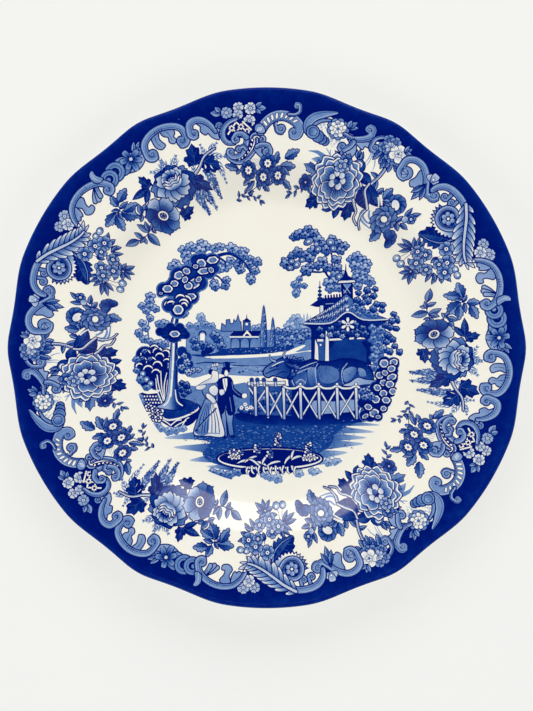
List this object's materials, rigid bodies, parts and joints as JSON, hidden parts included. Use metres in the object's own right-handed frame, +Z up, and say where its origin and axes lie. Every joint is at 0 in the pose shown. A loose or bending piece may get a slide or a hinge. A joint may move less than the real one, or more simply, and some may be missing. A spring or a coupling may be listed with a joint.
{
  "type": "dinner plate",
  "caption": "Round dinner plate with a gently lobed edge, a wide sloping rim, a shallow well and a foot ring, printed in blue under a clear glaze.",
  "frame": {"origin": "middle of the foot ring, on the table that the plate stands on", "axes": "+Z up, out of the well; +Y towards the top of the printed picture, through the middle of a long lobe; +X to the picture's right, through the middle of a short lobe"},
  "size_m": [0.2688, 0.27, 0.024],
  "materials": {
    "biscuit": "fired clay, unglazed where the foot stands",
    "clear_glaze": "glossy clear glaze over cream clay",
    "edge_blue": "brushed cobalt under gloss",
    "border_blue": "transfer-printed cobalt under gloss",
    "picture_blue": "transfer-printed cobalt under gloss",
    "mark_blue": "transfer-printed cobalt under gloss"
  },
  "bodies": {
    "root": {"biscuit_body": "biscuit", "main_glaze": "clear_glaze", "base_glaze": "clear_glaze", "edge_band": "edge_blue", "border_print_1": "border_blue", "border_print_2": "border_blue", "border_print_3": "border_blue", "picture_print": "picture_blue", "base_mark_print": "mark_blue"}
  },
  "joints": []
}
